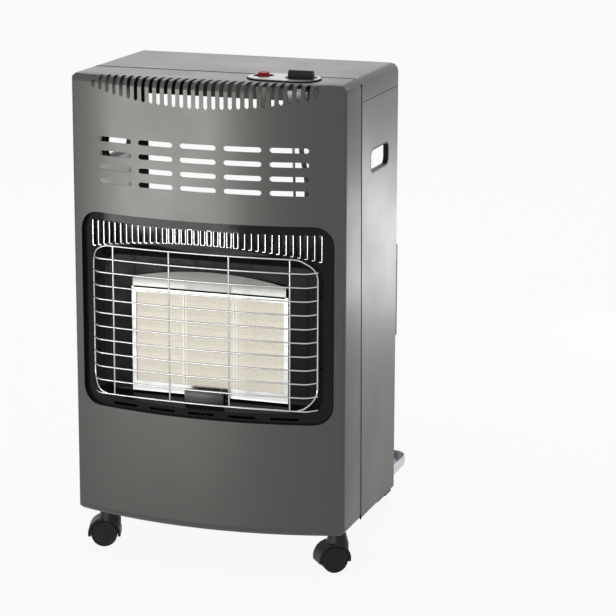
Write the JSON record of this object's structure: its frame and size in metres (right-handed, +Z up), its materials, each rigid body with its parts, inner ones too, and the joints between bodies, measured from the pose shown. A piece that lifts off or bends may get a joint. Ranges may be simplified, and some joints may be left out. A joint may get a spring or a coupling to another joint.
{
  "type": "portable gas cabinet heater",
  "caption": "Upright sheet-metal cabinet heater with a bowed, vented front, a wire-guarded ceramic burner, top controls, an open rear bottle bay and swivel castors.",
  "frame": {"origin": "centre of the bounding box's footprint, on the floor", "axes": "+X to the right seen from the front, +Y from the front towards the open bottle bay, +Z up"},
  "size_m": [0.4259, 0.4424, 0.7436],
  "materials": {
    "grey_paint": "satin metallic dark grey powder coat",
    "galvanised": "plain galvanised sheet",
    "black_enamel": "gloss black heat-proof enamel",
    "black_plastic": "fine-textured black moulding",
    "chrome": "bright chrome plate",
    "bright_steel": "bright stainless sheet",
    "ceramic": "matt cream burner ceramic",
    "white_ceramic": "white insulating ceramic",
    "cream_plastic": "off-white moulding",
    "aluminium": "plain die-cast and drawn aluminium",
    "brass": "turned brass",
    "copper": "copper sheath",
    "red_plastic": "red moulding",
    "red_sleeve": "red silicone lead sleeve"
  },
  "bodies": {
    "cabinet": {"front_casing": "grey_paint", "top_cover": "grey_paint", "side_panel_right": "grey_paint", "side_panel_left": "grey_paint", "hand_grip_right": "black_plastic", "hand_grip_left": "black_plastic", "cover_bracket_right": "black_plastic", "cover_bracket_left": "black_plastic", "base_tray": "galvanised", "heat_shield": "galvanised", "radiant_surround": "black_enamel", "heat_deflector": "bright_steel", "guard_grille": "chrome", "burner_housing": "galvanised", "burner_frame": "bright_steel", "plaque_left": "ceramic", "plaque_centre": "ceramic", "plaque_right": "ceramic", "mixing_tube": "galvanised", "gas_pipe": "brass", "pilot_pipe": "aluminium", "ignition_lead": "red_sleeve", "pilot_bracket": "bright_steel", "pilot_burner": "brass", "thermocouple": "copper", "spark_electrode": "white_ceramic", "valve_body": "aluminium", "hose_inlet": "brass", "control_plate": "chrome", "control_insert": "black_plastic", "igniter_body": "cream_plastic"},
    "valve_rotor": {"valve_rotor": "brass"},
    "knob": {"control_knob": "black_plastic", "valve_spindle": "brass"},
    "igniter_button": {"igniter_button": "red_plastic"},
    "castor_front_left_swivel": {"castor_front_left_hood": "black_plastic", "castor_front_left_stem": "bright_steel", "castor_front_left_axle": "bright_steel"},
    "castor_front_left_outer": {"castor_front_left_wheel_outer": "black_plastic"},
    "castor_front_left_inner": {"castor_front_left_wheel_inner": "black_plastic"},
    "castor_front_right_swivel": {"castor_front_right_hood": "black_plastic", "castor_front_right_stem": "bright_steel", "castor_front_right_axle": "bright_steel"},
    "castor_front_right_outer": {"castor_front_right_wheel_outer": "black_plastic"},
    "castor_front_right_inner": {"castor_front_right_wheel_inner": "black_plastic"},
    "castor_rear_left_swivel": {"castor_rear_left_hood": "black_plastic", "castor_rear_left_stem": "bright_steel", "castor_rear_left_axle": "bright_steel"},
    "castor_rear_left_outer": {"castor_rear_left_wheel_outer": "black_plastic"},
    "castor_rear_left_inner": {"castor_rear_left_wheel_inner": "black_plastic"},
    "castor_rear_right_swivel": {"castor_rear_right_hood": "black_plastic", "castor_rear_right_stem": "bright_steel", "castor_rear_right_axle": "bright_steel"},
    "castor_rear_right_outer": {"castor_rear_right_wheel_outer": "black_plastic"},
    "castor_rear_right_inner": {"castor_rear_right_wheel_inner": "black_plastic"}
  },
  "joints": [
    {"name": "valve_turn", "type": "hinge", "parent": "cabinet", "child": "valve_rotor", "pos_m": [0.1333, -0.1438, 0.7], "axis": [0, 0, 1], "range_deg": [0, 210]},
    {"name": "knob_push", "type": "slide", "parent": "valve_rotor", "child": "knob", "axis": [0, 0, -1], "range_m": [0, 0.004], "stiffness_N_per_m": 800, "springref_m": -0.002},
    {"name": "igniter_push", "type": "slide", "parent": "cabinet", "child": "igniter_button", "axis": [0, 0, -1], "range_m": [0, 0.006], "stiffness_N_per_m": 600, "springref_m": -0.002},
    {"name": "castor_front_left_turn", "type": "hinge", "parent": "cabinet", "child": "castor_front_left_swivel", "pos_m": [-0.1767, -0.1338, 0.05], "axis": [0, 0, 1], "continuous": true},
    {"name": "castor_front_left_outer_spin", "type": "hinge", "parent": "castor_front_left_swivel", "child": "castor_front_left_outer", "pos_m": [-0.18426, -0.1364, 0.01975], "axis": [0.3256, -0.9455, 0], "continuous": true},
    {"name": "castor_front_left_inner_spin", "type": "hinge", "parent": "castor_front_left_swivel", "child": "castor_front_left_inner", "pos_m": [-0.18426, -0.1364, 0.01975], "axis": [0.3256, -0.9455, 0], "continuous": true},
    {"name": "castor_front_right_turn", "type": "hinge", "parent": "cabinet", "child": "castor_front_right_swivel", "pos_m": [0.1873, -0.1318, 0.05], "axis": [0, 0, 1], "continuous": true},
    {"name": "castor_front_right_outer_spin", "type": "hinge", "parent": "castor_front_right_swivel", "child": "castor_front_right_outer", "pos_m": [0.181, -0.13673, 0.01975], "axis": [0.6157, -0.788, 0], "continuous": true},
    {"name": "castor_front_right_inner_spin", "type": "hinge", "parent": "castor_front_right_swivel", "child": "castor_front_right_inner", "pos_m": [0.181, -0.13673, 0.01975], "axis": [0.6157, -0.788, 0], "continuous": true},
    {"name": "castor_rear_left_turn", "type": "hinge", "parent": "cabinet", "child": "castor_rear_left_swivel", "pos_m": [-0.1427, 0.1972, 0.05], "axis": [0, 0, 1], "continuous": true},
    {"name": "castor_rear_left_outer_spin", "type": "hinge", "parent": "castor_rear_left_swivel", "child": "castor_rear_left_outer", "pos_m": [-0.15053, 0.19554, 0.01975], "axis": [0.2079, -0.9781, 0], "continuous": true},
    {"name": "castor_rear_left_inner_spin", "type": "hinge", "parent": "castor_rear_left_swivel", "child": "castor_rear_left_inner", "pos_m": [-0.15053, 0.19554, 0.01975], "axis": [0.2079, -0.9781, 0], "continuous": true},
    {"name": "castor_rear_right_turn", "type": "hinge", "parent": "cabinet", "child": "castor_rear_right_swivel", "pos_m": [0.1493, 0.1972, 0.05], "axis": [0, 0, 1], "continuous": true},
    {"name": "castor_rear_right_outer_spin", "type": "hinge", "parent": "castor_rear_right_swivel", "child": "castor_rear_right_outer", "pos_m": [0.1413, 0.1972, 0.01975], "axis": [0, -1, 0], "continuous": true},
    {"name": "castor_rear_right_inner_spin", "type": "hinge", "parent": "castor_rear_right_swivel", "child": "castor_rear_right_inner", "pos_m": [0.1413, 0.1972, 0.01975], "axis": [0, -1, 0], "continuous": true}
  ]
}
